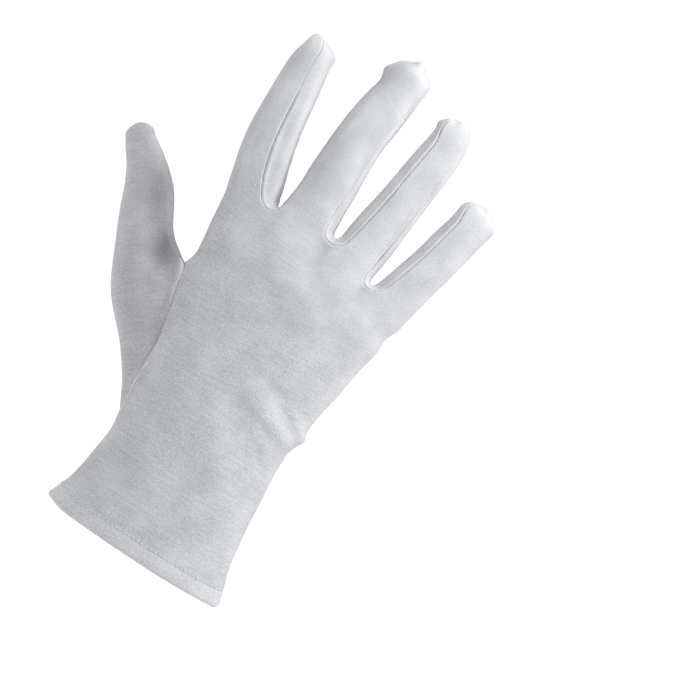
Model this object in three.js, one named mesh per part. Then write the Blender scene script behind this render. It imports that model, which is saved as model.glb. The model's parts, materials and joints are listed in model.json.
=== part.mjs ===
// A right-hand dress glove of fine white cotton knit, in the form that a spread hand gives it.
// Millimetres. The origin is the centre of the cuff's mouth, +Z runs up through the middle finger,
// +X is the little finger's side, -Y is the back of the hand and +Y the palm.
//
// The cloth is one skin of four-sided patches: a tube for the hand that divides at the knuckles into
// four fingers, with a thumb that grows from a hole in its index side. The skin is then parted along
// the seams into panels, and each panel is given the thickness of the knit.

import * as THREE from "three";

// Cloth and seams
const CLOTH = 1.0;
const SEAM_GAP = 0.3;

// Points round the skin. Each finger has SIDE patches on each of its four sides, and each gap between
// fingers has GAP_PATCHES across. The hand's ring is its back, its side at the little finger, its palm
// and its side at the index finger.
const SIDE = 4;
const FINGERS = 4;
const GAP_PATCHES = 2;
const FINGER_COLUMNS = SIDE + GAP_PATCHES;
const BACK_COLUMNS = FINGERS * FINGER_COLUMNS - 1;
const PALM_START = BACK_COLUMNS + SIDE - 1;
const COLUMNS = 2 * PALM_START;

// Sections are rounded: 2 would be an ellipse, and more is squarer. The outermost columns of the back and
// the palm lie at this share of the half width.
const ROUNDNESS = 2.3;
const SIDE_EDGE = 0.96;

// Sections of the hand from the hem to the knuckles, seen from the back of the hand. l and r are the left
// and the right edge, rise is how far the middle stands above the line between them, and lean is how far
// the back hangs lower than that line and the palm stands higher. push moves the middle towards the left
// edge, as a share of the half width. back and palm are how far the cloth stands out to each side, and
// steps is the number of patches up to the next row.
const HAND = [
  { lx: -42.8, lz: 3.6, rx: 43.2, rz: -2.4, rise: 0, lean: 0.5, push: 0.14, back: 22, palm: 23.6, steps: 1 },
  { lx: -41, lz: 7.8, rx: 42.4, rz: 1.8, rise: 0, lean: 0.5, push: 0.12, back: 22.2, palm: 23.6, steps: 1 },
  { lx: -38.8, lz: 12.4, rx: 41.4, rz: 6.2, rise: 0, lean: 0.5, push: 0.10, back: 22.2, palm: 23.4, steps: 2 },
  { lx: -35.4, lz: 28, rx: 39.4, rz: 24, rise: 0, lean: 0.4, push: 0.04, back: 21.2, palm: 22.4, steps: 2 },
  { lx: -34.4, lz: 49, rx: 37.8, rz: 46, rise: 0, lean: 0, push: 0, back: 19.6, palm: 21.2, steps: 2 },
  { lx: -36.8, lz: 67, rx: 37.4, rz: 66, rise: 1, lean: 0, push: 0, back: 17.6, palm: 19.6, steps: 2 },
  { lx: -37.9, lz: 76, rx: 40.2, rz: 75, rise: 1.4, lean: 0, push: 0, back: 16.8, palm: 18.8, steps: 2 },
  { lx: -38.8, lz: 85, rx: 40.6, rz: 83.6, rise: 2, lean: 0, push: 0, back: 16, palm: 18.2, steps: 3 },
  { lx: -40.2, lz: 101, rx: 43.8, rz: 100, rise: 3, lean: -1.5, push: 0, back: 15.4, palm: 16.8, steps: 2 },
  { lx: -42.7, lz: 115.2, rx: 46.6, rz: 115, rise: 4, lean: -4, push: 0, back: 14.8, palm: 15.4, steps: 1 },
  { lx: -39.4, lz: 122.6, rx: 48.4, rz: 121.6, rise: 6, lean: -2.5, push: 0, back: 14.2, palm: 14.6, steps: 2 },
  { lx: -40.6, lz: 136, rx: 51.4, rz: 131.6, rise: 8, lean: 0, push: 0, back: 12.8, palm: 12.8, steps: 2 },
  { lx: -41.8, lz: 150, rx: 54.6, rz: 142, rise: 8, lean: 0, push: 0, back: 11, palm: 11, steps: 0 },
];

// The hole for the thumb: its lowest and highest row, and how many columns of the palm it takes
const HOLE_FROM = 4;
const HOLE_TO = 9;
const HOLE_PALM_COLUMNS = 2;

// The gaps between the fingers, from the index finger's side: the lowest point that daylight reaches, and
// where the strip in the gap ends on the back of the hand and on the palm, with half its width there.
// CROTCH_NARROW is half the strip's width at that lowest point, and CROTCH_ROUND is how far the edges of
// its ends stand above their middle.
const CROTCH = [
  { x: -18.2, z: 158.2, backX: -21.8, backZ: 155.0, palmX: -16.4, palmZ: 156.6, half: 3.6 },
  { x: 9.2, z: 159.0, backX: 9.2, backZ: 155.4, palmX: 9.4, palmZ: 156.8, half: 4.4 },
  { x: 32.6, z: 149.2, backX: 32.8, backZ: 146.8, palmX: 32.6, palmZ: 148.0, half: 4.2 },
];
const CROTCH_NARROW = 1.3;
const CROTCH_ROUND = 1.8;

// Fingers as worn, from the gap to the shoulder of the tip. turn is how far a finger's back faces the
// index side, span is half the angle that its back strip covers, each at the gap and at the tip, dome is
// the height of its tip and square how square the tip's outline is.
const FINGER = [
  {
    name: "index",
    turn: [38, 34],
    span: [46, 46],
    dome: 6.4,
    square: 2.1,
    rows: [
      { lx: -42.4, lz: 152.0, rx: -18.8, rz: 158.0, y: 1.4, back: 10.4, palm: 10.2 },
      { lx: -45.6, lz: 168.0, rx: -21.4, rz: 168.0, y: 0.6, back: 9.8, palm: 9.8 },
      { lx: -47.3, lz: 181.0, rx: -24.4, rz: 180.0, y: 0.2, back: 9.6, palm: 9.4 },
      { lx: -47.5, lz: 194.0, rx: -26.5, rz: 193.0, y: 0.6, back: 9.2, palm: 9.0 },
      { lx: -47.6, lz: 206.2, rx: -27.7, rz: 206.2, y: 2.0, back: 8.6, palm: 8.6 },
      { lx: -47.6, lz: 215.6, rx: -29.6, rz: 217.6, y: 4.0, back: 7.6, palm: 8.0 },
      { lx: -46.0, lz: 223.8, rx: -29.6, rz: 226.4, y: 6.0, back: 6.2, palm: 6.8 },
    ],
  },
  {
    name: "middle",
    turn: [16, 2],
    span: [48, 68],
    dome: 7.6,
    square: 1.65,
    rows: [
      { lx: -17.4, lz: 158.4, rx: 8.0, rz: 159.0, y: 0.2, back: 11.0, palm: 10.6 },
      { lx: -15.8, lz: 170.0, rx: 7.7, rz: 170.0, y: -0.6, back: 10.2, palm: 10.0 },
      { lx: -15.5, lz: 184.0, rx: 8.0, rz: 183.0, y: -1.0, back: 10.0, palm: 9.6 },
      { lx: -14.2, lz: 198.0, rx: 7.6, rz: 197.0, y: -0.4, back: 9.4, palm: 9.0 },
      { lx: -12.0, lz: 212.0, rx: 9.2, rz: 211.0, y: 1.6, back: 8.8, palm: 8.6 },
      { lx: -9.7, lz: 225.8, rx: 11.0, rz: 225.0, y: 4.4, back: 7.6, palm: 7.8 },
      { lx: -8.9, lz: 234.2, rx: 12.6, rz: 236.0, y: 6.6, back: 6.0, palm: 6.6 },
    ],
  },
  {
    name: "ring",
    turn: [-6, -22],
    span: [34, 50],
    dome: 5.4,
    square: 2.2,
    rows: [
      { lx: 10.2, lz: 159.6, rx: 31.8, rz: 150.4, y: 0.8, back: 10.4, palm: 10.2 },
      { lx: 12.8, lz: 172.6, rx: 34.4, rz: 167.6, y: 0.0, back: 9.6, palm: 9.6 },
      { lx: 15.8, lz: 185.6, rx: 35.9, rz: 182.2, y: -0.2, back: 9.2, palm: 9.2 },
      { lx: 18.2, lz: 199.0, rx: 37.4, rz: 196.0, y: 0.4, back: 8.8, palm: 8.8 },
      { lx: 20.6, lz: 211.6, rx: 39.3, rz: 208.8, y: 2.4, back: 8.2, palm: 8.2 },
      { lx: 22.4, lz: 219.8, rx: 39.8, rz: 217.6, y: 4.2, back: 7.2, palm: 7.6 },
      { lx: 22.7, lz: 225.0, rx: 39.0, rz: 223.6, y: 5.6, back: 5.8, palm: 6.4 },
    ],
  },
  {
    name: "little",
    turn: [-14, -14],
    span: [42, 46],
    dome: 4.8,
    square: 2.2,
    rows: [
      { lx: 33.6, lz: 150.2, rx: 55.0, rz: 146.4, y: 2.2, back: 9.4, palm: 9.0 },
      { lx: 38.6, lz: 163.0, rx: 58.2, rz: 159.4, y: 2.0, back: 8.6, palm: 8.6 },
      { lx: 42.6, lz: 174.6, rx: 61.2, rz: 170.4, y: 2.0, back: 8.2, palm: 8.2 },
      { lx: 45.6, lz: 185.4, rx: 63.6, rz: 180.6, y: 2.6, back: 7.8, palm: 7.8 },
      { lx: 48.2, lz: 193.8, rx: 66.2, rz: 189.4, y: 3.8, back: 7.0, palm: 7.2 },
      { lx: 49.2, lz: 198.8, rx: 66.9, rz: 195.8, y: 5.0, back: 5.8, palm: 6.2 },
    ],
  },
];

// Half the angle that a finger's front covers, the rings along a finger, how much closer they lie near the
// gap, and the share of its length in which it leaves the form of the gap
const PALM_SPAN = 46;
const FINGER_STEPS = 10;
const FINGER_SPACING = 1.35;
const BASE_FADE = 0.24;

// The thumb: l is its outer edge and r its inner edge, from the hole in the hand to the shoulder of its tip
const THUMB = {
  dome: 5.0,
  square: 2.4,
  rows: [
    { lx: -34.6, lz: 49.4, rx: -42.8, rz: 115.0, y: 3.6, back: 11.0, palm: 11.0 },
    { lx: -42.0, lz: 64.4, rx: -46.2, rz: 119.8, y: 4.4, back: 11.8, palm: 12.4 },
    { lx: -51.4, lz: 76.4, rx: -50.4, rz: 124.0, y: 5.4, back: 12.2, palm: 13.2 },
    { lx: -61.4, lz: 86.8, rx: -53.6, rz: 127.6, y: 6.6, back: 12.0, palm: 13.0 },
    { lx: -68.4, lz: 98.8, rx: -56.2, rz: 132.4, y: 8.0, back: 11.4, palm: 12.4 },
    { lx: -73.2, lz: 110.4, rx: -59.2, rz: 138.2, y: 9.4, back: 10.8, palm: 11.6 },
    { lx: -78.2, lz: 121.6, rx: -63.6, rz: 144.8, y: 10.8, back: 10.0, palm: 10.6 },
    { lx: -83.0, lz: 133.4, rx: -69.8, rz: 150.6, y: 12.0, back: 9.2, palm: 9.6 },
    { lx: -87.8, lz: 143.0, rx: -76.6, rz: 155.8, y: 12.8, back: 8.0, palm: 8.6 },
    { lx: -94.0, lz: 151.2, rx: -83.4, rz: 160.4, y: 13.2, back: 6.4, palm: 7.0 },
  ],
};
const THUMB_STEPS = 12;
const THUMB_FADE = 0.38;

// Tip rings: how far round the dome each lies, in degrees, before the tip is closed with a grid. The grid
// stands out in its middle by this share of the dome's height.
const TIP_RINGS = [34, 62];
const TIP_BULGE = 0.16;

// Folds, dents and knuckles that show in the cloth. Each runs from one point to another as seen from
// the back; wide is how far it reaches to each side, and high is how far it stands out. A fold fades where
// the cloth turns away from its side of the hand, and is whole where the cloth faces it by FOLD_FULL.
const FOLDS = [
  { side: "back", x1: 12, z1: 86, x2: 37, z2: 70, wide: 5.0, high: 1.4 },
  { side: "back", x1: 26, z1: 86, x2: 38, z2: 77, wide: 4.6, high: -1.2 },
  { side: "back", x1: 8, z1: 76, x2: 33, z2: 60, wide: 5.0, high: -0.9 },
  { side: "back", x1: -27, z1: 138, x2: -25, z2: 130, wide: 9, high: 1.1 },
  { side: "back", x1: -5, z1: 143, x2: -5, z2: 136, wide: 9, high: 1.0 },
  { side: "back", x1: 19, z1: 139, x2: 18, z2: 133, wide: 8, high: 0.9 },
  { side: "back", x1: 41, z1: 130, x2: 39, z2: 124, wide: 8, high: 0.9 },
  { side: "back", x1: -54, z1: 121, x2: -50, z2: 115, wide: 6, high: -1.6 },
  { side: "palm", x1: -10, z1: 112, x2: 38, z2: 126, wide: 6, high: -1.4 },
  { side: "palm", x1: -30, z1: 122, x2: -6, z2: 66, wide: 8, high: -1.8 },
  { side: "palm", x1: -28, z1: 58, x2: 30, z2: 60, wide: 6, high: -1.0 },
];
const FOLD_FULL = 0.5;

const HEM_ROWS = 2;
const COTTON = { color: 0xd9dadd, roughness: 0.95, metalness: 0 };

// Skin: points, and four-sided patches that each belong to a panel
const points = [];
const patches = [];
const addPoint = (p) => points.push(p) - 1;
const addPatch = (panel, a, b, c, d) => patches.push({ panel, corners: [a, b, c, d] });

const radians = THREE.MathUtils.degToRad;
const mix = THREE.MathUtils.lerp;

// The inner points of a side, as shares of its length, and the palm's column opposite one of the back's
const INNER = Array.from({ length: SIDE - 1 }, (_, k) => (k + 1) / SIDE);
const opposite = (column) => PALM_START + BACK_COLUMNS - 1 - column;

// A smooth value through four neighbours, at k between the second and the third
function smooth(a, b, c, d, k) {
  return b + 0.5 * k * (c - a + k * (2 * a - 5 * b + 4 * c - d + k * (3 * (b - c) + d - a)));
}

// Every numbered column of a table at place u, from its first row at 0 to its last at 1
function rowAt(rows, u) {
  const place = u * (rows.length - 1);
  const i = Math.min(Math.floor(place), rows.length - 2);
  const pick = (n) => rows[THREE.MathUtils.clamp(n, 0, rows.length - 1)];
  const row = {};
  for (const key of Object.keys(rows[0])) {
    row[key] = smooth(pick(i - 1)[key], pick(i)[key], pick(i + 1)[key], pick(i + 2)[key], place - i);
  }
  return row;
}

// A point on a section: 0 degrees is its right edge, 90 the back of the hand, 180 its left edge
function onSection(row, angle) {
  const c = Math.cos(angle);
  const s = Math.sin(angle);
  const even = Math.sign(c) * Math.abs(c) ** (2 / ROUNDNESS);
  const across = even - (row.push ?? 0) * (1 - even ** 2);
  const out = Math.sign(s) * Math.abs(s) ** (2 / ROUNDNESS);
  return new THREE.Vector3(
    mix(row.lx, row.rx, (across + 1) / 2),
    (row.y ?? 0) - (s > 0 ? row.back : row.palm) * out,
    mix(row.lz, row.rz, (across + 1) / 2) + (row.rise ?? 0) * (1 - across ** 2) - (row.lean ?? 0) * out,
  );
}

const angleAcross = (t) => Math.acos(Math.sign(t) * Math.abs(t) ** (ROUNDNESS / 2));

// Where the hand's columns lie at the knuckles, as angles round the section
function handAngles() {
  const top = HAND[HAND.length - 1];
  const middle = (top.lx + top.rx) / 2;
  const half = (top.rx - top.lx) / 2;
  const across = (x) => (x - middle) / half;
  const angles = (middles) => {
    const gapEdges = CROTCH.flatMap((c, f) => [across(middles[f] - c.half), across(middles[f] + c.half)]);
    const edges = [-SIDE_EDGE, ...gapEdges, SIDE_EDGE];
    const list = [];
    for (let f = 0; f < FINGERS; f++) {
      for (let k = 0; k <= SIDE; k++) list.push(angleAcross(mix(edges[2 * f], edges[2 * f + 1], k / SIDE)));
      if (f < FINGERS - 1) list.push(angleAcross(across(middles[f])));
    }
    return list;
  };
  const back = angles(CROTCH.map((c) => c.backX));
  const palm = angles(CROTCH.map((c) => c.palmX)).reverse().map((angle) => -angle);
  const sideways = (from, to) => INNER.map((share) => mix(from, to, share));
  return [
    ...back,
    ...sideways(back[BACK_COLUMNS - 1], palm[0]),
    ...palm,
    ...sideways(palm[BACK_COLUMNS - 1], back[0] - 2 * Math.PI),
  ];
}

// How high the knuckle row lies at x on the back or the palm: a smooth line that dips round at each gap
function knuckleHeight(x, side) {
  const top = HAND[HAND.length - 1];
  const gaps = CROTCH.flatMap((c) => [-1, 0, 1].map((k) => ({
    x: c[`${side}X`] + k * c.half,
    z: c[`${side}Z`] + Math.abs(k) * CROTCH_ROUND,
  })));
  const line = [{ x: top.lx, z: top.lz }, ...gaps, { x: top.rx, z: top.rz }];
  const i = THREE.MathUtils.clamp(line.findIndex((p) => p.x > x) - 1, 0, line.length - 2);
  const k = THREE.MathUtils.clamp((x - line[i].x) / (line[i + 1].x - line[i].x), 0, 1);
  return mix(line[i].z, line[i + 1].z, k);
}

// The hand's rows of points, from the hem up
function buildHand() {
  const angles = handAngles();
  const rows = [];
  HAND.forEach((row, i) => {
    const steps = Math.max(row.steps, 1);
    for (let k = 0; k < steps; k++) {
      const section = rowAt(HAND, (i + k / steps) / (HAND.length - 1));
      rows.push(angles.map((angle) => addPoint(onSection(section, angle))));
    }
  });
  for (const id of rows[rows.length - 1]) {
    const p = points[id];
    p.z = knuckleHeight(p.x, p.y < 0 ? "back" : "palm");
  }
  return rows;
}

const stepsTo = (row) => HAND.slice(0, row).reduce((sum, r) => sum + r.steps, 0);

function patchHand(rows) {
  const holeFrom = stepsTo(HOLE_FROM);
  const holeTo = stepsTo(HOLE_TO);
  const holeColumn = COLUMNS - SIDE - HOLE_PALM_COLUMNS;
  const middleRight = PALM_START - SIDE / 2;
  const middleLeft = COLUMNS - SIDE / 2;
  for (let i = 0; i < rows.length - 1; i++) {
    for (let j = 0; j < COLUMNS; j++) {
      if (i >= holeFrom && i < holeTo && j >= holeColumn) continue;
      const next = (j + 1) % COLUMNS;
      const panel = j < middleRight || j >= middleLeft ? "back" : "palm";
      addPatch(panel, rows[i][j], rows[i][next], rows[i + 1][next], rows[i + 1][j]);
    }
  }
}

// The saddle of cloth between two fingers: its two edges and its middle, from the back to the palm
function buildGap(f, top) {
  const gap = CROTCH[f];
  const line = (side) => {
    const column = FINGER_COLUMNS * f + SIDE + 1 + side;
    const back = top[column];
    const palm = top[opposite(column)];
    const inner = INNER.map((share) => {
      const straight = points[back].clone().lerp(points[palm], share);
      const saddle = new THREE.Vector3(gap.x + side * CROTCH_NARROW, straight.y, gap.z + Math.abs(side));
      return addPoint(straight.lerp(saddle, Math.sin(Math.PI * share)));
    });
    return [back, ...inner, palm];
  };
  return [line(-1), line(0), line(1)];
}

function patchGap(f, gap) {
  for (let c = 0; c < GAP_PATCHES; c++) {
    for (let k = 0; k < SIDE; k++) {
      addPatch(fourchette(f), gap[c][k], gap[c + 1][k], gap[c + 1][k + 1], gap[c][k + 1]);
    }
  }
}

const fourchette = (f) => `fourchette_${FINGER[f].name}_${FINGER[f + 1].name}`;

// The angles of a finger's ring: its back strip, the side towards the little finger, palm, other side
function fingerAngles(finger, u) {
  const span = mix(...finger.span, u);
  const turn = mix(...finger.turn, u);
  const corners = [90 + span, 90 - span, -90 + PALM_SPAN, -90 - PALM_SPAN, -270 + span];
  const angles = [];
  for (let side = 0; side < 4; side++) {
    for (let k = 0; k < SIDE; k++) {
      angles.push(radians(mix(corners[side], corners[side + 1], k / SIDE) + turn));
    }
  }
  return angles;
}

// Rings that start at a row of the skin and take the table's own sections as they leave it
function growRings(base, limb, steps, fadeTo, anglesAt, spacing) {
  const rings = [base];
  const angles = anglesAt(0);
  const start = base.map((id, k) => points[id].clone().sub(onSection(limb.rows[0], angles[k])));
  for (let i = 1; i <= steps; i++) {
    const u = (i / steps) ** spacing;
    const row = rowAt(limb.rows, u);
    const fade = Math.max(0, 1 - u / fadeTo) ** 2;
    const section = anglesAt(u).map((angle) => onSection(row, angle));
    rings.push(section.map((p, k) => addPoint(p.addScaledVector(start[k], fade))));
  }
  return rings;
}

// Closes a limb: rings that follow a rounded square dome, then a grid whose edges are the last ring.
// The grid has that many patches across, and its first corner lies shift points before the ring's start.
function closeTip(rings, limb, across, shift) {
  const last = limb.rows[limb.rows.length - 1];
  const before = limb.rows[limb.rows.length - 2];
  const middleOf = (row) => new THREE.Vector3((row.lx + row.rx) / 2, row.y, (row.lz + row.rz) / 2);
  const centre = middleOf(last);
  const edge = new THREE.Vector3(last.rx - last.lx, 0, last.rz - last.lz).normalize();
  const axis = centre.clone().sub(middleOf(before));
  axis.addScaledVector(edge, -axis.dot(edge)).normalize();
  const shoulder = rings[rings.length - 1].map((id) => points[id].clone());
  const ringAt = (scale, height) => shoulder.map((p) =>
    p.clone().sub(centre).multiplyScalar(scale).add(centre).addScaledVector(axis, limb.dome * height));
  for (const degrees of TIP_RINGS) {
    const scale = Math.cos(radians(degrees)) ** (2 / limb.square);
    const height = Math.sin(radians(degrees)) ** (2 / limb.square);
    rings.push(ringAt(scale, height).map(addPoint));
  }
  const end = rings[rings.length - 1];
  const ring = end.map((_, k) => end[(k - shift + end.length) % end.length]);
  const deep = ring.length / 2 - across;
  const grid = [];
  for (let r = 0; r <= deep; r++) {
    const row = [];
    for (let c = 0; c <= across; c++) {
      if (r === 0) row.push(ring[c]);
      else if (r === deep) row.push(ring[2 * across + deep - c]);
      else if (c === 0) row.push(ring[ring.length - r]);
      else if (c === across) row.push(ring[across + r]);
      else row.push(null);
    }
    grid.push(row);
  }
  for (let r = 1; r < deep; r++) {
    for (let c = 1; c < across; c++) {
      const v = r / deep;
      const u = c / across;
      const down = points[grid[0][c]].clone().lerp(points[grid[deep][c]], v);
      const along = points[grid[r][0]].clone().lerp(points[grid[r][across]], u);
      const bulge = limb.dome * TIP_BULGE * Math.sin(Math.PI * u) * Math.sin(Math.PI * v);
      grid[r][c] = addPoint(down.add(along).multiplyScalar(0.5).addScaledVector(axis, bulge));
    }
  }
  return grid;
}

function patchTip(grid, panelOf) {
  for (let r = 0; r < grid.length - 1; r++) {
    for (let c = 0; c < grid[0].length - 1; c++) {
      addPatch(panelOf(r, c), grid[r][c], grid[r][c + 1], grid[r + 1][c + 1], grid[r + 1][c]);
    }
  }
}

function patchRings(rings, panelOf) {
  for (let i = 0; i < rings.length - 1; i++) {
    for (let k = 0; k < rings[i].length; k++) {
      const next = (k + 1) % rings[i].length;
      addPatch(panelOf(k), rings[i][k], rings[i][next], rings[i + 1][next], rings[i + 1][k]);
    }
  }
}

// The panel of a patch in a finger's ring. The outer sides of the hand have no strip: back and palm meet
// halfway round them.
function fingerPanel(f, k) {
  const side = Math.floor(k / SIDE);
  const pastMiddle = k % SIDE >= SIDE / 2;
  if (side === 0) return "back";
  if (side === 2) return "palm";
  if (side === 1) return f < FINGERS - 1 ? fourchette(f) : pastMiddle ? "palm" : "back";
  return f > 0 ? fourchette(f - 1) : pastMiddle ? "back" : "palm";
}

function buildFingers(top) {
  const gaps = CROTCH.map((_, f) => buildGap(f, top));
  gaps.forEach((gap, f) => patchGap(f, gap));
  FINGER.forEach((finger, f) => {
    const first = FINGER_COLUMNS * f;
    const last = first + SIDE;
    const back = top.slice(first, last);
    const palm = top.slice(opposite(last), opposite(first));
    const right = f < FINGERS - 1 ? gaps[f][0].slice(0, SIDE) : top.slice(last, PALM_START);
    const left = f > 0 ? gaps[f - 1][GAP_PATCHES].slice(1).reverse() : top.slice(COLUMNS - SIDE);
    const rings = growRings([...back, ...right, ...palm, ...left], finger, FINGER_STEPS, BASE_FADE,
      (u) => fingerAngles(finger, u), FINGER_SPACING);
    const grid = closeTip(rings, finger, SIDE, 0);
    patchRings(rings, (k) => fingerPanel(f, k));
    patchTip(grid, (r) => (r < SIDE / 2 ? "back" : "palm"));
  });
}

// The thumb starts at the edge of its hole: over the top from the back to the palm, down, and round
function buildThumb(rows) {
  const low = stepsTo(HOLE_FROM);
  const high = stepsTo(HOLE_TO);
  const across = SIDE + HOLE_PALM_COLUMNS;
  const column = (c) => (COLUMNS - c) % COLUMNS;
  const edge = [];
  for (let c = 0; c <= across; c++) edge.push(rows[high][column(c)]);
  for (let i = high - 1; i >= low; i--) edge.push(rows[i][column(across)]);
  for (let c = across - 1; c >= 0; c--) edge.push(rows[low][column(c)]);
  for (let i = low + 1; i < high; i++) edge.push(rows[i][0]);
  const angles = edge.map((_, k) => ((across / 2 - k) * 2 * Math.PI) / edge.length);
  const rings = growRings(edge, THUMB, THUMB_STEPS, THUMB_FADE, () => angles, 1);
  const wide = 2 * Math.floor(edge.length / 2 / SIDE);
  const grid = closeTip(rings, THUMB, wide, (wide - across) / 2);
  const isPalm = (k) => k >= across / 2 && k < (across + edge.length) / 2;
  patchRings(rings, (k) => (isPalm(k) ? "thumb_palm" : "thumb_back"));
  patchTip(grid, (r, c) => (c < wide / 2 ? "thumb_back" : "thumb_palm"));
}

// Normals of the whole skin at its points
function skinNormals() {
  const normals = points.map(() => new THREE.Vector3());
  for (const { corners } of patches) {
    const [a, b, c, d] = corners.map((id) => points[id]);
    const face = c.clone().sub(a).cross(d.clone().sub(b));
    for (const id of corners) normals[id].add(face);
  }
  return normals.map((n) => n.normalize());
}

function foldHeight(p, normal) {
  let height = 0;
  for (const fold of FOLDS) {
    const facing = fold.side === "back" ? -normal.y : normal.y;
    if (facing <= 0) continue;
    const along = new THREE.Vector2(fold.x2 - fold.x1, fold.z2 - fold.z1);
    const from = new THREE.Vector2(p.x - fold.x1, p.z - fold.z1);
    const share = THREE.MathUtils.clamp(from.dot(along) / along.lengthSq(), 0, 1);
    const away = from.addScaledVector(along, -share).length();
    height += fold.high * Math.min(1, facing / FOLD_FULL) * Math.exp(-((away / fold.wide) ** 2));
  }
  return height;
}

// One panel as a closed solid: its outer side, its inner side, and a rim along its seams
function panelGeometry(patchList, outer, inner) {
  const used = new Set();
  for (const { corners } of patchList) {
    corners.forEach((id, k) => used.add(`${id},${corners[(k + 1) % 4]}`));
  }
  const rim = [];
  for (const { corners } of patchList) {
    corners.forEach((id, k) => {
      const next = corners[(k + 1) % 4];
      if (!used.has(`${next},${id}`)) rim.push([id, next]);
    });
  }
  const inset = insetsOf(patchList, rim);
  const position = [];
  const place = (side, id) => {
    const p = side[id].clone();
    if (inset.has(id)) p.addScaledVector(inset.get(id), SEAM_GAP / 2);
    position.push(p.x, p.y, p.z);
  };
  const square = (side, a, b, c, d) => {
    for (const id of [a, b, c, a, c, d]) place(side, id);
  };
  for (const { corners } of patchList) {
    square(outer, ...corners);
    square(inner, ...[...corners].reverse());
  }
  const corner = (side, id) => ({ side, id });
  for (const [a, b] of rim) {
    const ring = [corner(outer, b), corner(outer, a), corner(inner, a), corner(inner, b)];
    const order = a < b ? [0, 1, 2, 0, 2, 3] : [0, 1, 3, 1, 2, 3];
    for (const k of order) place(ring[k].side, ring[k].id);
  }
  return new THREE.BufferGeometry().setAttribute("position", new THREE.Float32BufferAttribute(position, 3));
}

// At each point of a seam, the direction into the panel and across the seam. It is longer where the seam
// turns, so that the gap stays even.
function insetsOf(patchList, rim) {
  const sums = new Map();
  for (const [a, b] of rim) {
    const owner = patchList.find(({ corners }) => corners.includes(a) && corners.includes(b));
    const along = points[b].clone().sub(points[a]).normalize();
    const into = owner.corners.reduce((sum, id) => sum.add(points[id]), new THREE.Vector3());
    into.divideScalar(owner.corners.length).sub(points[a]);
    into.addScaledVector(along, -into.dot(along)).normalize();
    for (const id of [a, b]) sums.set(id, [...(sums.get(id) ?? []), into]);
  }
  const insets = new Map();
  for (const [id, list] of sums) {
    const sum = list.reduce((total, v) => total.add(v), new THREE.Vector3());
    const even = (2 * list.length) / Math.max(sum.lengthSq(), 1);
    insets.set(id, sum.multiplyScalar(Math.min(even, 2) / 2));
  }
  return insets;
}

function addMesh(group, name, geometry) {
  const mesh = new THREE.Mesh(geometry, new THREE.MeshStandardMaterial(COTTON));
  geometry.computeVertexNormals();
  mesh.name = name;
  group.add(mesh);
}

const handRows = buildHand();
patchHand(handRows);
buildFingers(handRows[handRows.length - 1]);
buildThumb(handRows);

const flatNormals = skinNormals();
points.forEach((p, id) => p.addScaledVector(flatNormals[id], foldHeight(p, flatNormals[id])));
const normals = skinNormals();
const layer = (depth) => points.map((p, id) => p.clone().addScaledVector(normals[id], -depth));

const glove = new THREE.Group();
const outer = layer(0);
const inner = layer(CLOTH);
for (const name of new Set(patches.map((patch) => patch.panel))) {
  addMesh(glove, name, panelGeometry(patches.filter((patch) => patch.panel === name), outer, inner));
}

// The cuff's edge is turned up inside: a second layer that lies against the first, as high as the hem
const hemPatches = [];
for (let i = 0; i < HEM_ROWS; i++) {
  for (let j = 0; j < COLUMNS; j++) {
    const next = (j + 1) % COLUMNS;
    const corners = [handRows[i][j], handRows[i][next], handRows[i + 1][next], handRows[i + 1][j]];
    hemPatches.push({ panel: "cuff_hem", corners });
  }
}
addMesh(glove, "cuff_hem", panelGeometry(hemPatches, layer(CLOTH + SEAM_GAP), layer(2 * CLOTH + SEAM_GAP)));

export default glove;
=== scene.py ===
import heapq
import json
import math

import bpy
from mathutils import Matrix, Vector, noise

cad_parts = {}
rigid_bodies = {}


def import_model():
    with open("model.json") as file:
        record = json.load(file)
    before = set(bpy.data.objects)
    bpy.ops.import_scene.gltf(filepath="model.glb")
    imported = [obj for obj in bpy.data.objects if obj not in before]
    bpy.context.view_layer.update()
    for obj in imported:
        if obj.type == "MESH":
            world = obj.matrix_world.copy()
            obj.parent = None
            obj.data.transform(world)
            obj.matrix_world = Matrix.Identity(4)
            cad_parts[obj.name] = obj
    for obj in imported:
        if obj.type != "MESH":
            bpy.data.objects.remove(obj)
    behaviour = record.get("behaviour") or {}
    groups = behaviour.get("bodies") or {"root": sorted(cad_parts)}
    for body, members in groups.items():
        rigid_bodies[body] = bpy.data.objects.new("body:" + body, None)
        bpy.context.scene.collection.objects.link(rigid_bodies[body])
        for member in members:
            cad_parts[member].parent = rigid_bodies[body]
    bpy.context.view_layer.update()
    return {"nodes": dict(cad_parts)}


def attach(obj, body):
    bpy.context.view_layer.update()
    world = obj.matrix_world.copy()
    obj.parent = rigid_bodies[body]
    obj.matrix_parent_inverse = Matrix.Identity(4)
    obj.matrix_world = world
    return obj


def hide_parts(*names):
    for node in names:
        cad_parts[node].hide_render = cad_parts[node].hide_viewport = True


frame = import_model()

# The sewn glove as one cloth. The real one is cut from flat white cotton knit, sewn inside out and
# turned. The outer sides of its panels are laid edge to edge here, so that the cloth runs on across
# each seam, and are parted into the real pieces further down.

# Each panel is named with a place that its outer side faces. The hem's faces the inside of the cuff.
PANELS = {
    "back": (0.0, -0.06, 0.09),
    "palm": (0.0, 0.06, 0.09),
    "thumb_back": (-0.065, -0.03, 0.115),
    "thumb_palm": (-0.065, 0.05, 0.115),
    "fourchette_index_middle": (-0.0185, 0.0, 0.170),
    "fourchette_middle_ring": (0.0102, 0.0, 0.170),
    "fourchette_ring_little": (0.0362, 0.0, 0.160),
    "cuff_hem": (0.0, 0.0, 0.006),
}
PANEL_NAMES = list(PANELS)
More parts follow.
